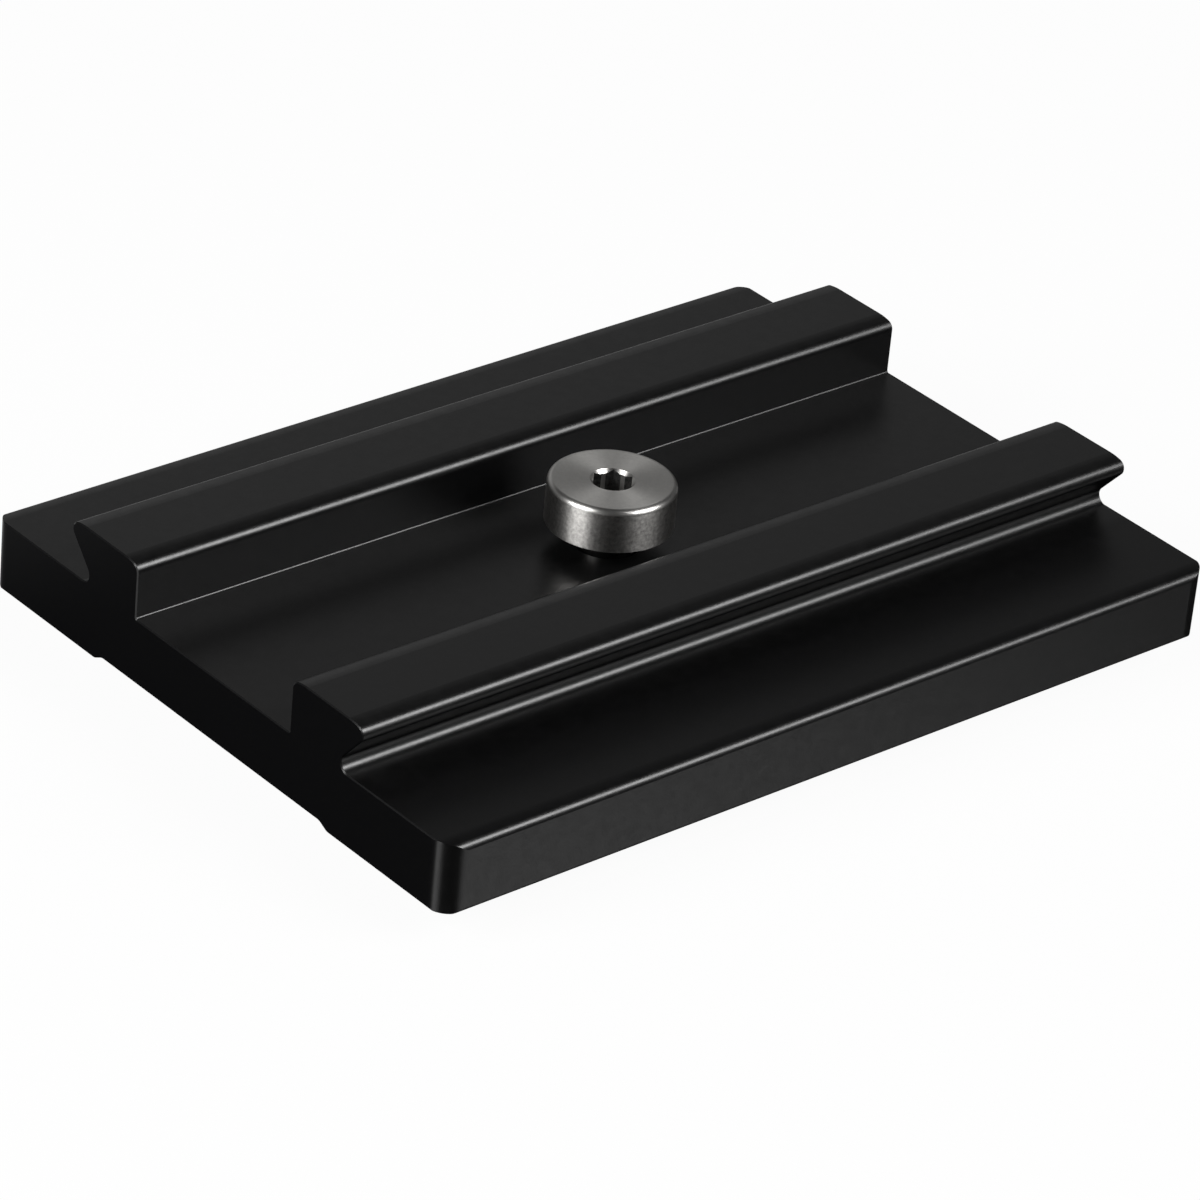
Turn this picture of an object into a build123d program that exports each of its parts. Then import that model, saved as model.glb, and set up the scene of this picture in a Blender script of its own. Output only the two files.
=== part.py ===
from build123d import *
import math
import os

# Tripod quick release plate, in millimetres.
# X runs along the dovetail rails, Z points from the camera face up to the rails.
# The origin is the centre of the camera face, on the axis of the camera screw.

# Plate
plate_length = 81.1
plate_width = 60.0
flange_thickness = 6.3
corner_radius = 2.05
flange_top_radius = 0.65
flange_bottom_radius = 0.3
flange_ease_angle = 10.0
flange_ease_width = 1.05
flange_ease_radius = 5.5
end_edge_break = 0.1

# Dovetail rails
dovetail_width = 38.0
rail_height = 5.0
flank_angle = 49.0
nose_radius = 0.75
root_radius = 0.8
channel_width = 20.3
rail_inner_radius = 0.8
channel_root_radius = 0.2

# The rail tops fall off softly before their rounded edges, as drawn and tumbled metal does
rail_ease_angle = 12.0
rail_ease_radius = 5.5
inner_ease_width = 1.25
nose_ease_width = 1.25

# Shallow relief along the camera face, which leaves two lands
relief_width = 30.9
relief_depth = 0.5
relief_ramp = 1.0
relief_blend_radius = 1.0

# Camera screw, a quarter inch of twenty threads to the inch
thread_diameter = 6.35
thread_tip_chamfer = 0.5
thread_shoulder_chamfer = 0.3
screw_reach = 5.0
neck_diameter = 4.9
neck_fillet = 0.25
head_diameter = 10.84
head_height = 3.9
head_top_radius = 0.45
head_bottom_break = 0.1
head_lift = 1.95

# Hex socket in the head
socket_across_flats = 3.175
socket_pilot_diameter = 3.21
socket_depth = 2.4
socket_lead_diameter = 3.8
socket_turn = 47.5
drill_point_angle = 118.0

# Tapped hole in the plate
tapped_clearance = 0.1
hole_countersink = 0.4
stop_clearance = 0.05

# Levels and half widths that follow from the sizes above
rail_top = flange_thickness + rail_height
half_width = plate_width / 2
half_channel = channel_width / 2
relief_outer = relief_width / 2
relief_inner = relief_outer - relief_ramp
flank_slope = math.tan(math.radians(flank_angle))
rail_ease_slope = math.tan(math.radians(rail_ease_angle))
flange_ease_slope = math.tan(math.radians(flange_ease_angle))

# Corners of the softened edges, before their rounding
inner_ease = half_channel + inner_ease_width
inner_corner_level = rail_top - inner_ease_width * rail_ease_slope
flange_ease = half_width - flange_ease_width
flange_corner_level = flange_thickness - flange_ease_width * flange_ease_slope

# The nose touches the softened top and the flank, and reaches half the dovetail's width
nose_ease = dovetail_width / 2 - nose_ease_width
nose_centre = dovetail_width / 2 - nose_radius
nose_centre_level = (
    rail_top
    - (nose_centre - nose_ease) * rail_ease_slope
    - nose_radius / math.cos(math.radians(rail_ease_angle))
)
flank_touch = nose_centre + nose_radius * math.sin(math.radians(flank_angle))
flank_touch_level = nose_centre_level - nose_radius * math.cos(math.radians(flank_angle))
root_corner = flank_touch - (flank_touch_level - flange_thickness) / flank_slope
nose_corner = (
    rail_top + nose_ease * rail_ease_slope - flank_touch_level + flank_touch * flank_slope
) / (flank_slope + rail_ease_slope)
nose_corner_level = rail_top - (nose_corner - nose_ease) * rail_ease_slope

# Levels along the screw, lifted off its seat on the channel floor as far as it goes
head_seat = flange_thickness
head_bottom = head_seat + head_lift
head_top = head_bottom + head_height
screw_tip = head_lift - screw_reach
thread_shoulder = relief_depth - stop_clearance
hole_diameter = neck_diameter + 2 * tapped_clearance


def half_section():
    """Half of the plate's section across the rails, with every edge rounded."""
    outline = [
        (0, relief_depth),
        (relief_inner, relief_depth),
        (relief_outer, 0),
        (half_width, 0),
        (half_width, flange_corner_level),
        (flange_ease, flange_thickness),
        (root_corner, flange_thickness),
        (nose_corner, nose_corner_level),
        (nose_ease, rail_top),
        (inner_ease, rail_top),
        (half_channel, inner_corner_level),
        (half_channel, flange_thickness),
        (0, flange_thickness),
    ]
    radii = [
        0,
        relief_blend_radius,
        relief_blend_radius,
        flange_bottom_radius,
        flange_top_radius,
        flange_ease_radius,
        root_radius,
        nose_radius,
        rail_ease_radius,
        rail_ease_radius,
        rail_inner_radius,
        channel_root_radius,
        0,
    ]
    path = FilletPolyline(*outline, radius=radii, close=True)
    return make_face(path.edges())


def make_plate():
    """One length of the section, with rounded corners and the tapped hole."""
    half = half_section()
    section = half + mirror(half, about=Plane.YZ)
    across_rails = Plane.YZ.offset(-plate_length / 2)
    bar = extrude(across_rails * section, plate_length)

    ends = bar.faces().filter_by(Axis.X)
    bar = chamfer(ends.edges(), end_edge_break)
    rounded = RectangleRounded(plate_length, plate_width, corner_radius)
    plate = bar & extrude(rounded, rail_top)

    hole = Cylinder(hole_diameter / 2, flange_thickness, align=(Align.CENTER, Align.CENTER, Align.MIN))
    mouth = Cone(
        hole_diameter / 2,
        hole_diameter / 2 + hole_countersink,
        hole_countersink,
        align=(Align.CENTER, Align.CENTER, Align.MAX),
    )
    return plate - hole - Pos(Z=flange_thickness) * mouth


def make_screw():
    """The screw, turned in one piece, with the hex socket broached round a drilled hole in its head."""
    half_thread = thread_diameter / 2
    half_neck = neck_diameter / 2
    half_head = head_diameter / 2
    outline = [
        (0, screw_tip),
        (half_thread - thread_tip_chamfer, screw_tip),
        (half_thread, screw_tip + thread_tip_chamfer),
        (half_thread, thread_shoulder - thread_shoulder_chamfer),
        (half_thread - thread_shoulder_chamfer, thread_shoulder),
        (half_neck, thread_shoulder),
        (half_neck, head_bottom),
        (half_head, head_bottom),
        (half_head, head_top),
        (0, head_top),
    ]
    radii = [0, 0, 0, 0, 0, 0, neck_fillet, head_bottom_break, head_top_radius, 0]
    path = FilletPolyline(*outline, radius=radii, close=True)
    screw = revolve(Plane.XZ * make_face(path.edges()), Axis.Z)

    hexagon = RegularPolygon(socket_across_flats / 2, 6, major_radius=False, rotation=socket_turn)
    socket = extrude(Pos(Z=head_top) * hexagon, -socket_depth)
    half_pilot = socket_pilot_diameter / 2
    pilot = Cylinder(half_pilot, socket_depth, align=(Align.CENTER, Align.CENTER, Align.MAX))
    point_depth = half_pilot / math.tan(math.radians(drill_point_angle / 2))
    point = Cone(0, half_pilot, point_depth, align=(Align.CENTER, Align.CENTER, Align.MAX))
    lead_depth = socket_lead_diameter / 2
    lead = Cone(0, lead_depth, lead_depth, align=(Align.CENTER, Align.CENTER, Align.MAX))
    mouth = Pos(Z=head_top)
    return screw - socket - mouth * pilot - Pos(Z=head_top - socket_depth) * point - mouth * lead


os.makedirs("parts", exist_ok=True)
export_step(make_plate(), "parts/plate_body.step")
export_step(make_screw(), "parts/camera_screw.step")
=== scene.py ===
"""Looks of a tripod quick release plate: its finishes, the thread of its screw, and the photo's stage."""
import math

import bmesh
import bpy
from bpy.props import FloatProperty, FloatVectorProperty, IntProperty, PointerProperty
from mathutils import Matrix, Vector


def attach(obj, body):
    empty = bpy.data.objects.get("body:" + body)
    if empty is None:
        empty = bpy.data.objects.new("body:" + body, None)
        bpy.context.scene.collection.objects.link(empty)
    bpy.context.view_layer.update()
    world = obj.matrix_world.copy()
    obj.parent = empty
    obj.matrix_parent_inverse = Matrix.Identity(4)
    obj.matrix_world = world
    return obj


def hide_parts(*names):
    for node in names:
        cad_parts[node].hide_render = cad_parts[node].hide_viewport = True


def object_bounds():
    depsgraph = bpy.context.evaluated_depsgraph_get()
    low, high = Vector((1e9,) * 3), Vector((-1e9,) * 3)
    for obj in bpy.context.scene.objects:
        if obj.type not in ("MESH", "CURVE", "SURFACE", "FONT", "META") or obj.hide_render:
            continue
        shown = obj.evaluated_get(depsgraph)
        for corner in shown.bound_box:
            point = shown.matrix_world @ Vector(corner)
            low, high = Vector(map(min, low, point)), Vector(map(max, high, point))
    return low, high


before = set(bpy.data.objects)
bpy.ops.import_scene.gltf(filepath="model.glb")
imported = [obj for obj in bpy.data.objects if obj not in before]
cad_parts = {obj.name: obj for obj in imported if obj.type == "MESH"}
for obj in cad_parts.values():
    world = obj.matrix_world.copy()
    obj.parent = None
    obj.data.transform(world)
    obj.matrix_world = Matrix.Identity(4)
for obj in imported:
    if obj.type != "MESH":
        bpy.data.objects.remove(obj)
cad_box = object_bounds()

bl_info = {
    "name": "Tripod quick release plate",
    "version": (1, 0, 0),
    "blender": (4, 5, 0),
    "location": "3D View > Sidebar > Plate",
    "description": "Dresses the packed plate and screw and sets up the stage of the photo",
    "category": "Object",
}

mm = 0.001

# Finishes of the screw, in the order of its material slots
screw_finishes = ["face", "edge", "side", "socket", "drilled", "thread"]

# Steps of the screw's mesh along its rounded edges and its thread
top_edge_steps = 10
bottom_edge_steps = 4
neck_fillet_steps = 6
thread_steps = 70

# Angles of the screw: each side of its hex socket, the drill's point, and half of the thread's groove
hex_side_angle = math.radians(60)
drill_point_angle = math.radians(118)
thread_flank_angle = math.radians(30)

# Share of the thread's pitch that its flat crests take up
crest_share = 1 / 8

# The least angle between faces of the screw that shades as a sharp edge
sharp_angle = math.radians(28)

# Points of the screw's mesh that lie closer than this become one
weld_distance = 1e-7

# Limits between which a finish of the plate fades in, by how far a face looks along, across or up
end_faces = (0.93, 0.99)
channel_walls = (0.85, 0.98)
rail_flanks = (0.2, 0.5)
end_breaks = (0.2, 0.5)
# Where the painted highlight on the edges at the channel's ends fades in
highlight_corners = (0.25, 0.45)
level_faces = (0.9, 0.98)

# Limits between which a finish of the plate fades in, by its place
channel_fade = 1 * mm
flank_levels = (4 * mm, 6 * mm)
# Where the painted shade on the front flange fades in
front_flange = (19 * mm, 20.5 * mm)

# How far the milled finish covers the channel's walls and the broken edges of the ends
wall_share = 0.7
break_share = 0.85

# The value that a noise strays from, to both sides
noise_mean = 0.5

# Clouds in the anodising, and how far its grain and its clouds change its roughness
cloud_scale = 900.0
grain_change = 0.14
cloud_change = 0.16

# Turning marks of the steel: their scale and depths, and the quarter turn that lays light across them
turning_scale = 6000.0
deep_marks = 0.0012 * mm
fine_marks = 0.0003 * mm
quarter_turn = 0.25

# Stains of the steel: their scale and limits, and how dark and how bright they leave its colour
stain_scale = 3500.0
stain_limits = (-0.1, 1.1)
stained = 0.45
brightened = 1.5

# How mottled the stains make a clean finish, the handled side and the broached socket
clean_mottle = 0.2
side_mottle = 1.0
socket_mottle = 2.0

# How far the marks and the stains change the steel's roughness
steel_change = 0.1

# Strip of the floor behind the plate that polished faces see as pale, and how far it fades further back
strip_start = (0.025, 0.06)
strip_end = (0.08, 0.25)
strip_fade = 0.8

# Roughness of the floor where polished faces see the lamps in it, and its reach to each side
floor_roughness = 0.16
floor_reach = 3.0

# Limits of the room's pale band, as parts of a direction: to the right, to the back and upwards
right_side = (-0.5, 0.4)
back_side = (0.42, 0.88)
band_rise = (0.05, 0.42)
band_fall = (0.42, 0.64)

# Level of the band's foot against its middle
band_foot = 0.3

# Distance of the lamps, and the power that gives one square metre of a lamp a level of 1
lamp_reach = 0.7
lamp_power = 4

# Width of the camera's sensor in millimetres, and the nearest that it sees in metres
sensor_width = 36
clip_start = 0.01


class Wire:
    """One output of a shader tree, with the maths of the Math node."""

    def __init__(self, tree, socket=None):
        self.tree = tree
        self.socket = socket

    def make(self, kind, settings=None, sockets=None, output=0):
        """Add a node of a kind, with its settings and inputs, and return one of its outputs, if any."""
        node = self.tree.nodes.new(kind)
        for name, value in (settings or {}).items():
            setattr(node, name, value)
        for name, value in (sockets or {}).items():
            if isinstance(value, Wire):
                self.tree.links.new(value.socket, node.inputs[name])
            else:
                node.inputs[name].default_value = value
        return Wire(self.tree, node.outputs[output] if node.outputs else None)

    def maths(self, operation, *values):
        """Add a Math node for an operation on one or two values."""
        sockets = dict(enumerate(values))
        return self.make("ShaderNodeMath", {"operation": operation}, sockets)

    def __add__(self, other):
        return self.maths("ADD", self, other)

    def __radd__(self, other):
        return self.maths("ADD", other, self)

    def __sub__(self, other):
        return self.maths("SUBTRACT", self, other)

    def __rsub__(self, other):
        return self.maths("SUBTRACT", other, self)

    def __mul__(self, other):
        return self.maths("MULTIPLY", self, other)

    def __rmul__(self, other):
        return self.maths("MULTIPLY", other, self)

    def __abs__(self):
        return self.maths("ABSOLUTE", self)

    def root(self):
        """The square root."""
        return self.maths("SQRT", self)

    def most(self, limit):
        """The value, or the limit where the value is over it."""
        return self.maths("MINIMUM", self, limit)

    def smooth(self, low, high):
        """Rise smoothly from 0 at low to 1 at high."""
        sockets = {"Value": self, "From Min": low, "From Max": high}
        return self.make("ShaderNodeMapRange", {"interpolation_type": "SMOOTHSTEP"}, sockets)

    def part(self, axis):
        """The X, Y or Z of a vector."""
        return self.make("ShaderNodeSeparateXYZ", None, {"Vector": self}, axis)

    def noise(self, scale, detail, roughness):
        """Noise at a place."""
        sockets = {"Vector": self, "Scale": scale, "Detail": detail, "Roughness": roughness}
        return self.make("ShaderNodeTexNoise", None, sockets)

    def bump(self, depth):
        """The direction of a surface that a height roughens by a depth."""
        return self.make("ShaderNodeBump", None, {"Height": self, "Strength": 1.0, "Distance": depth})

    def show(self):
        """Send a shader to the output of its material."""
        self.make("ShaderNodeOutputMaterial", None, {"Surface": self})


def blend(share, first, second):
    """Mix two colours by a share."""
    sockets = {"Factor": share, 6: (*first, 1), 7: (*second, 1)}
    return share.make("ShaderNodeMix", {"data_type": "RGBA"}, sockets, output=2)


def mix(share, first, second):
    """Mix two shaders by a share."""
    return share.make("ShaderNodeMixShader", None, {"Fac": share, 1: first, 2: second})


def new_material(name):
    """A material with an empty tree, and the start of its wires."""
    material = bpy.data.materials.new(name)
    material.use_nodes = True
    material.node_tree.nodes.clear()
    return material, Wire(material.node_tree)


def length(name, description, default, precision=5):
    """A property that holds a length."""
    return FloatProperty(
        name=name, description=description, default=default, unit="LENGTH", precision=precision)


def angle(name, description, degrees):
    """A property that holds an angle."""
    return FloatProperty(name=name, description=description, default=math.radians(degrees), subtype="ANGLE")


def share_of(name, description, default):
    """A property that holds a share from 0 to 1."""
    return FloatProperty(
        name=name, description=description, default=default, subtype="FACTOR", min=0, max=1)


def light_level(name, description, default):
    """A property that holds a level of light."""
    return FloatProperty(name=name, description=description, default=default, min=0)


def tone(name, description, default):
    """A property that holds a colour."""
    return FloatVectorProperty(
        name=name, description=description, default=default, subtype="COLOR", min=0, max=1)


def spot(name, description, default):
    """A property that holds a place."""
    return FloatVectorProperty(
        name=name, description=description, default=default, subtype="TRANSLATION", precision=6)


class PlateLook(bpy.types.PropertyGroup):
    """Finish of the plate."""

    colour: tone("Anodising", "Colour of the anodised faces", (0.0008, 0.0008, 0.00085))
    roughness: share_of("Roughness", "Mean roughness of the drawn faces", 0.35)
    drawn_shine: share_of("Shine", "Specular level of the drawn faces", 0.7)
    milled_colour: tone("Milled", "Colour of the milled ends, walls and flanks", (0.0022, 0.0022, 0.0024))
    milled_roughness: share_of("Milled roughness", "Roughness of the milled faces", 0.4)
    milled_shine: share_of("Milled shine", "Specular level of the milled faces", 0.06)
    # Painted highlight: a lighter colour on the broken edges at the channel's ends
    edge_highlight_colour: tone("Worn", "Colour of the worn edges at the channel's ends", (0.03, 0.03, 0.03))
    # Painted shade: how far a duller, darker finish is mixed into the front flange's flat top
    front_shade: share_of("Handled", "How far handling has dulled the front flange", 0.3)
    channel: length("Channel", "Width of the milled channel", 20.3 * mm)
    grain: length("Grain", "Size of the grain in the anodising", 0.16 * mm)
    grain_depth: length("Grain depth", "Height of the grain", 0.0002 * mm, precision=7)


class ScrewLook(bpy.types.PropertyGroup):
    """Sizes and finish of the camera screw, at rest at its upper stop."""

    head_diameter: length("Head diameter", "Across the disc head", 10.84 * mm)
    head_height: length("Head height", "From the head's underside to its top", 3.9 * mm)
    head_top: length("Head top", "Level of the head's top face", 12.15 * mm)
    top_radius: length("Top edge", "Rounding of the head's top edge", 0.45 * mm)
    bottom_break: length("Bottom edge", "Rounding of the head's bottom edge", 0.1 * mm)
    neck_diameter: length("Neck diameter", "Across the relieved neck", 4.9 * mm)
    neck_fillet: length("Neck fillet", "Fillet under the head", 0.25 * mm)
    thread_diameter: length("Thread diameter", "Over the thread's crests", 6.35 * mm)
    thread_pitch: length("Thread pitch", "Twenty threads to the inch", 1.27 * mm)
    thread_shoulder: length("Thread shoulder", "Level of the thread's upper end", 0.45 * mm)
    shoulder_chamfer: length("Shoulder chamfer", "Chamfer at the thread's upper end", 0.3 * mm)
    tip: length("Tip", "Level of the screw's tip", -3.05 * mm)
    tip_chamfer: length("Tip chamfer", "Chamfer at the tip", 0.5 * mm)
    socket_width: length("Socket width", "Across the flats of the hex socket", 3.175 * mm)
    socket_pilot: length("Socket pilot", "Drilled hole that the socket was broached from", 3.21 * mm)
    socket_depth: length("Socket depth", "Depth of the socket's flats", 2.4 * mm)
    socket_lead: length("Socket lead-in", "Across the lead-in of the socket", 3.8 * mm)
    socket_turn: angle("Socket turn", "Direction of one corner of the socket", 47.5)
    steps: IntProperty(
        name="Steps round", description="Facets round the screw", default=144, min=48, step=12)
    colour: tone("Steel", "Colour of the turned steel", (0.6, 0.59, 0.57))
    side_colour: tone("Side", "Colour of the head's side, stained by handling", (0.42, 0.41, 0.395))
    # Painted shade: the neck under the head, and the thread with it, are coloured near black
    neck_shade_colour: tone("Neck", "Colour of the oily neck and thread", (0.1, 0.098, 0.095))
    # Painted shade: the socket's walls are coloured near black
    socket_shade_colour: tone("Socket", "Colour of the broached walls of the socket", (0.1, 0.098, 0.095))
    face_roughness: share_of("Face roughness", "Mean roughness of the faced top", 0.5)
    face_marks: share_of("Face marks", "How far the facing marks stretch reflections", 0.55)
    side_roughness: share_of("Side roughness", "Mean roughness of the turned side", 0.37)
    side_marks: share_of("Side marks", "How far the turning marks stretch reflections", 0.85)
    edge_roughness: share_of("Edge roughness", "Mean roughness of the head's rounded edges", 0.33)
    edge_marks: share_of("Edge marks", "How far the marks on the edges stretch reflections", 0.6)
    socket_roughness: share_of("Socket roughness", "Mean roughness of the socket's broached walls", 0.4)
    drilled_roughness: share_of("Drilled roughness", "Mean roughness of the drilled strips", 0.35)
    thread_roughness: share_of("Thread roughness", "Mean roughness of the neck and the thread", 0.3)


class StageLook(bpy.types.PropertyGroup):
    """Camera, lamps and floor."""

    eye: spot("Camera", "Place of the camera", (-0.29237442, -0.31934987, 0.24999409))
    target: spot("Target", "Point that the camera looks at", (0.0001418, 0.0003075, 0.0004898))
    roll: angle("Roll", "How far the camera's right side is raised", 5.4844)
    lens: FloatProperty(
        name="Lens", description="Focal length on a 36 mm sensor", default=180.7806, unit="CAMERA")
    wall_level: light_level("Walls", "Level of the lower half of the room", 0.46)
    left_wall: share_of("Left wall", "Level of the left wall against the right one", 0.3)
    front_wall: share_of("Front wall", "Level of the front wall against the back one", 0.2)
    ceiling_level: light_level("Ceiling", "Level of the room overhead", 0.015)
    right_level: light_level("Right", "Level of the softbox on the right", 9.0)
    left_level: light_level("Left", "Level of the softbox on the left", 12.5)
    floor_colour: tone("Floor", "Colour of the floor", (0.6, 0.6, 0.6))
    floor_white: share_of("Floor white", "Share of plain white that the camera sees", 0.95)
    floor_mirrored: share_of("Floor mirrored", "Share of it that polished faces see behind the object", 0.6)
    floor_gloss: share_of("Floor gloss", "How much of the lamps polished faces see in the floor", 0.08)


def quarter_round(steps):
    """Angles from 0 to a quarter turn."""
    return [math.radians(90) * step / steps for step in range(steps + 1)]


def circle(radius, level):
    """A ring of one radius at one level."""
    return lambda direction: (radius, level)


def thread_ring(look, level):
    """A ring across the thread, whose radius follows the helix and ends in the chamfers."""
    neck = look.neck_diameter / 2
    crest = look.thread_diameter / 2
    below_shoulder = look.thread_shoulder - level
    above_tip = level - look.tip
    limit = min(crest, crest - look.shoulder_chamfer + below_shoulder, crest - look.tip_chamfer + above_tip)
    half_crest_width = look.thread_pitch * crest_share / 2

    def ring(direction):
        along = (level / look.thread_pitch - direction / math.tau) % 1.0
        from_crest = abs(along - 0.5) * look.thread_pitch - half_crest_width
        ridge = crest - max(0.0, from_crest) / math.tan(thread_flank_angle)
        return min(limit, max(neck, ridge)), level

    return ring


def profile_rings(look):
    """Rings of the screw from the bottom of its socket to its tip, and the level of the socket's point.

    Each ring has the finish of the band below it, by the direction from the axis where that varies, and a
    function of that direction for its radius and level.
    """
    half_socket = look.socket_width / 2
    half_pilot = look.socket_pilot / 2
    lead = look.socket_lead / 2
    head = look.head_diameter / 2
    neck = look.neck_diameter / 2
    top = look.head_top
    bottom = top - look.head_height
    floor = top - look.socket_depth

    def flat(direction):
        """Distance from the axis to the socket's wall."""
        turned = (direction - look.socket_turn) % hex_side_angle - hex_side_angle / 2
        return max(half_pilot, half_socket / math.cos(turned))

    def wall(direction):
        """Finish of the socket's wall: the drill left a strip in the middle of each flat."""
        return "drilled" if flat(direction) == half_pilot else "socket"

    rings = [
        ("socket", circle(half_pilot, floor)),
        (wall, lambda direction: (flat(direction), floor)),
        ("edge", lambda direction: (flat(direction), top - lead + flat(direction))),
        ("face", circle(lead, top)),
        ("face", circle(head - 2 * look.top_radius, top)),
    ]
    for step, turn in enumerate(quarter_round(top_edge_steps)):
        out = look.top_radius * (1 - math.sin(turn))
        down = look.top_radius * (1 - math.cos(turn))
        rings.append(("edge" if step < top_edge_steps else "side", circle(head - out, top - down)))
    for turn in quarter_round(bottom_edge_steps):
        out = look.bottom_break * (1 - math.cos(turn))
        up = look.bottom_break * (1 - math.sin(turn))
        rings.append(("side", circle(head - out, bottom + up)))
    for turn in quarter_round(neck_fillet_steps):
        out = look.neck_fillet * (1 - math.sin(turn))
        down = look.neck_fillet * (1 - math.cos(turn))
        rings.append(("thread", circle(neck + out, bottom - down)))
    rings.append(("thread", circle(neck, look.thread_shoulder)))
    for step in range(thread_steps + 1):
        level = look.thread_shoulder + (look.tip - look.thread_shoulder) * step / thread_steps
        rings.append(("thread", thread_ring(look, level)))
    point = floor - half_pilot / math.tan(drill_point_angle / 2)
    return rings, point


def build_turned(piece_name, look):
    """Mesh of the screw, ring by ring, closed at its two ends on the axis."""
    rings, point = profile_rings(look)
    mesh = bmesh.new()
    directions = [look.socket_turn + math.tau * step / look.steps for step in range(look.steps)]
    rows = []
    finishes = []
    for finish, ring in rings:
        finishes.append(finish)
        row = []
        for direction in directions:
            radius, level = ring(direction)
            row.append(mesh.verts.new((radius * math.cos(direction), radius * math.sin(direction), level)))
        rows.append(row)
    first = mesh.verts.new((0, 0, point))
    last = mesh.verts.new((0, 0, look.tip))
    for step, direction in enumerate(directions):
        after = (step + 1) % look.steps
        middle = direction + math.pi / look.steps
        bands = [((first, rows[0][step], rows[0][after]), finishes[0])]
        for upper, lower, finish in zip(rows, rows[1:], finishes):
            bands.append(((upper[step], lower[step], lower[after], upper[after]), finish))
        bands.append(((last, rows[-1][after], rows[-1][step]), finishes[-1]))
        for corners, finish in bands:
            name = finish(middle) if callable(finish) else finish
            mesh.faces.new(corners).material_index = screw_finishes.index(name)
    bmesh.ops.remove_doubles(mesh, verts=mesh.verts, dist=weld_distance)
    bmesh.ops.recalc_face_normals(mesh, faces=mesh.faces)
    for face in mesh.faces:
        face.smooth = True
    for edge in mesh.edges:
        edge.smooth = edge.calc_face_angle(0.0) < sharp_angle
    data = bpy.data.meshes.new(piece_name)
    mesh.to_mesh(data)
    mesh.free()
    piece = bpy.data.objects.new(piece_name, data)
    bpy.context.scene.collection.objects.link(piece)
    return piece


def anodised_material(look):
    """Satin black anodising, duller where the plate was milled or broken at its ends, with a painted
    highlight on the edges at the channel's ends and painted shade on the front flange.
    """
    material, wire = new_material("black_anodised")
    place = wire.make("ShaderNodeTexCoord", output="Object")
    facing = wire.make("ShaderNodeTexCoord", output="Normal")
    along = facing.part("X")
    across = facing.part("Y")
    upward = facing.part("Z")
    beside = place.part("Y")
    above = place.part("Z")

    # Drawn faces, with the fine grain and the clouds of the anodising
    grain = place.noise(scale=1 / look.grain, detail=3.0, roughness=0.6)
    cloud = place.noise(scale=cloud_scale, detail=4.0, roughness=0.6)
    bumped = grain.bump(look.grain_depth)
    change = grain_change * (grain - noise_mean) + cloud_change * (cloud - noise_mean)
    sockets = {
        "Base Color": (*look.colour, 1),
        "Roughness": look.roughness + change,
        "Specular IOR Level": look.drawn_shine,
        "Normal": bumped,
    }
    drawn = wire.make("ShaderNodeBsdfPrincipled", None, sockets)

    # Where the plate is milled or broken at its ends, where a painted highlight lies on the edges at the
    # channel's ends, and where painted shade lies on the front flange
    half_channel = look.channel / 2
    inside = 1 - abs(beside).smooth(half_channel, half_channel + channel_fade)
    end = abs(along).smooth(*end_faces)
    wall = wall_share * abs(across).smooth(*channel_walls) * inside
    flank = (0 - upward).smooth(*rail_flanks) * above.smooth(*flank_levels)
    broken = break_share * (abs(along) * upward).smooth(*end_breaks)
    # Painted highlight: the edges between the ends and the channel's walls get a lighter colour
    edge_highlight = (abs(along) * abs(across)).smooth(*highlight_corners) * inside
    # Painted shade: the front flange's flat top is mixed towards the duller finish
    front_shade = look.front_shade * (0 - beside).smooth(*front_flange) * upward.smooth(*level_faces)
    sockets = {
        "Base Color": blend(edge_highlight, look.milled_colour, look.edge_highlight_colour),
        "Roughness": look.milled_roughness,
        "Specular IOR Level": look.milled_shine,
        "Normal": bumped,
    }
    milled = wire.make("ShaderNodeBsdfPrincipled", None, sockets)
    share = (end + wall + flank + broken + edge_highlight + front_shade).most(1)
    mix(share, drawn, milled).show()
    return material


def steel_material(look, finish):
    """Steel worked in one of six ways, with fine marks round the axis where it was turned."""
    colour, roughness, stretch, depth, mottle = {
        "face": (look.colour, look.face_roughness, look.face_marks, deep_marks, clean_mottle),
        "edge": (look.colour, look.edge_roughness, look.edge_marks, fine_marks, clean_mottle),
        "side": (look.side_colour, look.side_roughness, look.side_marks, deep_marks, side_mottle),
        # Painted shade in the socket's walls
        "socket": (look.socket_shade_colour, look.socket_roughness, 0.0, fine_marks, socket_mottle),
        "drilled": (look.colour, look.drilled_roughness, 0.0, fine_marks, clean_mottle),
        # Painted shade under the head, carried down the thread
        "thread": (look.neck_shade_colour, look.thread_roughness, 0.0, fine_marks, clean_mottle),
    }[finish]
    material, wire = new_material("stainless_" + finish)
    place = wire.make("ShaderNodeTexCoord", output="Object")
    along = place.part("X")
    across = place.part("Y")
    above = place.part("Z")
    outward = (along * along + across * across).root()
    sockets = {"W": outward + above, "Scale": turning_scale, "Detail": 2.0, "Roughness": 0.6}
    marks = wire.make("ShaderNodeTexNoise", {"noise_dimensions": "1D"}, sockets)
    stain = place.noise(scale=stain_scale, detail=3.0, roughness=0.65)
    clean = (noise_mean + mottle * (stain - noise_mean)).smooth(*stain_limits)
    darker = tuple(stained * value for value in colour)
    lighter = tuple(min(1.0, brightened * value) for value in colour)
    change = steel_change * (marks - noise_mean) + steel_change * mottle * (stain - noise_mean)
    sockets = {
        "Base Color": blend(clean, darker, lighter),
        "Metallic": 1.0,
        "Roughness": roughness + change,
        "Anisotropic": stretch,
        "Anisotropic Rotation": quarter_turn,
        "Normal": marks.bump(depth),
    }
    wire.make("ShaderNodeBsdfPrincipled", None, sockets).show()
    return material


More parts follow.
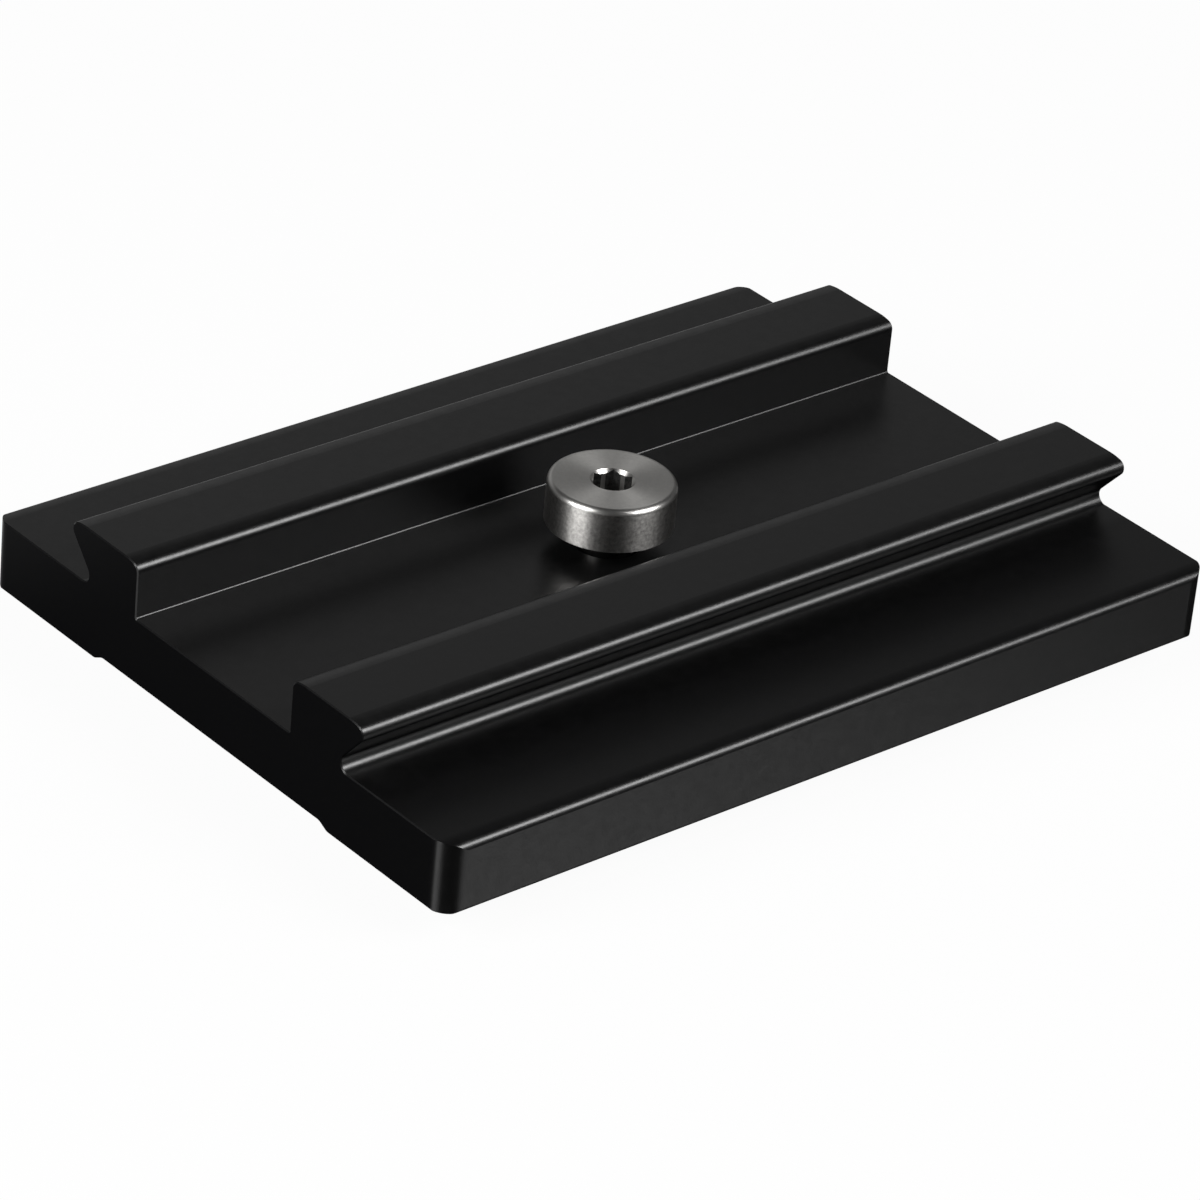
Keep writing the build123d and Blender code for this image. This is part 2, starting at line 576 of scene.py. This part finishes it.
def floor_material(look):
    """Pale floor that the camera sees as white, with the object's shadow left in it."""
    material, wire = new_material("pale_floor")
    seen = wire.make("ShaderNodeLightPath", output="Is Camera Ray")
    through = wire.make("ShaderNodeLightPath", output="Is Transmission Ray")
    mirrored = wire.make("ShaderNodeLightPath", output="Is Glossy Ray")
    behind = wire.make("ShaderNodeTexCoord", output="Object").part("Y")
    strip = behind.smooth(*strip_start) * (1 - strip_fade * behind.smooth(*strip_end))
    share = (seen + through) * look.floor_white + mirrored * strip * look.floor_mirrored
    pale = wire.make("ShaderNodeBsdfDiffuse", None, {"Color": (*look.floor_colour, 1)})
    gloss_colour = (look.floor_gloss, look.floor_gloss, look.floor_gloss, 1)
    sockets = {"Color": gloss_colour, "Roughness": floor_roughness}
    gloss = wire.make("ShaderNodeBsdfAnisotropic", None, sockets)
    white = wire.make("ShaderNodeEmission", None, {"Color": (1, 1, 1, 1), "Strength": 1.0})
    mix(share, mix(mirrored, pale, gloss), white).show()
    return material


def room_world(look):
    """A room pale to half the height of its back wall, darker overhead, on the left and in front."""
    world = bpy.data.worlds.new("room")
    world.use_nodes = True
    world.node_tree.nodes.clear()
    wire = Wire(world.node_tree)
    towards = wire.make("ShaderNodeTexCoord", output="Generated")
    height = towards.part("Z")
    side = look.left_wall + (1 - look.left_wall) * towards.part("X").smooth(*right_side)
    front = look.front_wall + (1 - look.front_wall) * towards.part("Y").smooth(*back_side)
    rise = band_foot + (1 - band_foot) * height.smooth(*band_rise)
    band = look.wall_level * rise * (1 - height.smooth(*band_fall))
    level = look.ceiling_level + band * side * front
    background = wire.make("ShaderNodeBackground", None, {"Color": level, "Strength": 1.0})
    wire.make("ShaderNodeOutputWorld", None, {"Surface": background})
    return world


def add_softbox(name, level, bearing, height_angle, reach, width, height):
    """Flat lamp of an even level, on a bearing and at an angle over the floor, turned to the object."""
    bearing = math.radians(bearing)
    rise = math.radians(height_angle)
    flat = math.cos(rise)
    place = reach * Vector((flat * math.cos(bearing), flat * math.sin(bearing), math.sin(rise)))
    data = bpy.data.lights.new(name, "AREA")
    data.shape = "RECTANGLE"
    data.size = width
    data.size_y = height
    data.energy = level * width * height * lamp_power
    lamp = bpy.data.objects.new(name, data)
    lamp.location = place
    lamp.rotation_euler = (-place).to_track_quat("-Z", "Y").to_euler()
    lamp.visible_camera = False
    bpy.context.scene.collection.objects.link(lamp)


def add_camera(look):
    """The photo's camera, with its right side raised by the roll."""
    data = bpy.data.cameras.new("photo_camera")
    data.lens = look.lens
    data.sensor_width = sensor_width
    data.clip_start = clip_start
    camera = bpy.data.objects.new("photo_camera", data)
    back = (Vector(look.eye) - Vector(look.target)).normalized()
    level = Vector((0, 0, 1)).cross(back).normalized()
    upright = back.cross(level)
    right = level * math.cos(look.roll) + upright * math.sin(look.roll)
    up = back.cross(right)
    turned = Matrix((right, up, back)).transposed().to_4x4()
    camera.matrix_world = Matrix.Translation(look.eye) @ turned
    bpy.context.scene.collection.objects.link(camera)
    bpy.context.scene.camera = camera


def build_floor(look):
    """A wide floor at the level of the object's lowest point."""
    data = bpy.data.meshes.new("floor")
    low = cad_box[0][2]
    reach = floor_reach
    corners = [(-reach, -reach, low), (reach, -reach, low), (reach, reach, low), (-reach, reach, low)]
    data.from_pydata(corners, [], [(0, 1, 2, 3)])
    floor = bpy.data.objects.new("floor", data)
    floor.data.materials.append(floor_material(look))
    bpy.context.scene.collection.objects.link(floor)
    return floor


class QRPLATE_OT_finish_plate(bpy.types.Operator):
    """Give the plate its anodised finish"""

    bl_idname = "qrplate.finish_plate"
    bl_label = "Finish the plate"

    def execute(self, context):
        node = bpy.data.objects["plate_body"]
        node.data.materials.clear()
        node.data.materials.append(anodised_material(context.scene.qrplate_plate))
        return {"FINISHED"}


class QRPLATE_OT_build_screw(bpy.types.Operator):
    """Build the camera screw with its thread and socket"""

    bl_idname = "qrplate.build_screw"
    bl_label = "Build the screw"

    def execute(self, context):
        look = context.scene.qrplate_screw
        piece = build_turned("threaded_screw", look)
        for finish in screw_finishes:
            piece.data.materials.append(steel_material(look, finish))
        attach(piece, "screw")
        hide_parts("camera_screw")
        return {"FINISHED"}


class QRPLATE_OT_build_stage(bpy.types.Operator):
    """Set up the floor, the lamps and the photo's camera"""

    bl_idname = "qrplate.build_stage"
    bl_label = "Build the stage"

    def execute(self, context):
        look = context.scene.qrplate_stage
        context.scene.view_settings.view_transform = "Standard"
        add_camera(look)
        context.scene.world = room_world(look)
        add_softbox(
            "right_softbox", look.right_level,
            bearing=-62, height_angle=40, reach=lamp_reach, width=0.44, height=0.32)
        add_softbox(
            "left_softbox", look.left_level,
            bearing=174, height_angle=30, reach=lamp_reach, width=0.36, height=0.36)
        floor = build_floor(look)
        return {"FINISHED"}


class QRPLATE_PT_looks(bpy.types.Panel):
    """Sizes and colours of the plate's looks"""

    bl_idname = "QRPLATE_PT_looks"
    bl_label = "Quick release plate"
    bl_space_type = "VIEW_3D"
    bl_region_type = "UI"
    bl_category = "Plate"

    def draw(self, context):
        groups = [
            (context.scene.qrplate_plate, "qrplate.finish_plate"),
            (context.scene.qrplate_screw, "qrplate.build_screw"),
            (context.scene.qrplate_stage, "qrplate.build_stage"),
        ]
        for look, operator in groups:
            box = self.layout.box()
            for name in look.bl_rna.properties.keys():
                if name not in ("rna_type", "name"):
                    box.prop(look, name)
            box.operator(operator)


classes = (
    PlateLook,
    ScrewLook,
    StageLook,
    QRPLATE_OT_finish_plate,
    QRPLATE_OT_build_screw,
    QRPLATE_OT_build_stage,
    QRPLATE_PT_looks,
)


def register():
    for kind in classes:
        bpy.utils.register_class(kind)
    bpy.types.Scene.qrplate_plate = PointerProperty(type=PlateLook)
    bpy.types.Scene.qrplate_screw = PointerProperty(type=ScrewLook)
    bpy.types.Scene.qrplate_stage = PointerProperty(type=StageLook)


def unregister():
    del bpy.types.Scene.qrplate_stage
    del bpy.types.Scene.qrplate_screw
    del bpy.types.Scene.qrplate_plate
    for kind in reversed(classes):
        bpy.utils.unregister_class(kind)


def main():
    register()
    bpy.ops.qrplate.finish_plate()
    bpy.ops.qrplate.build_screw()
    bpy.ops.qrplate.build_stage()


if __name__ == "__main__":
    main()
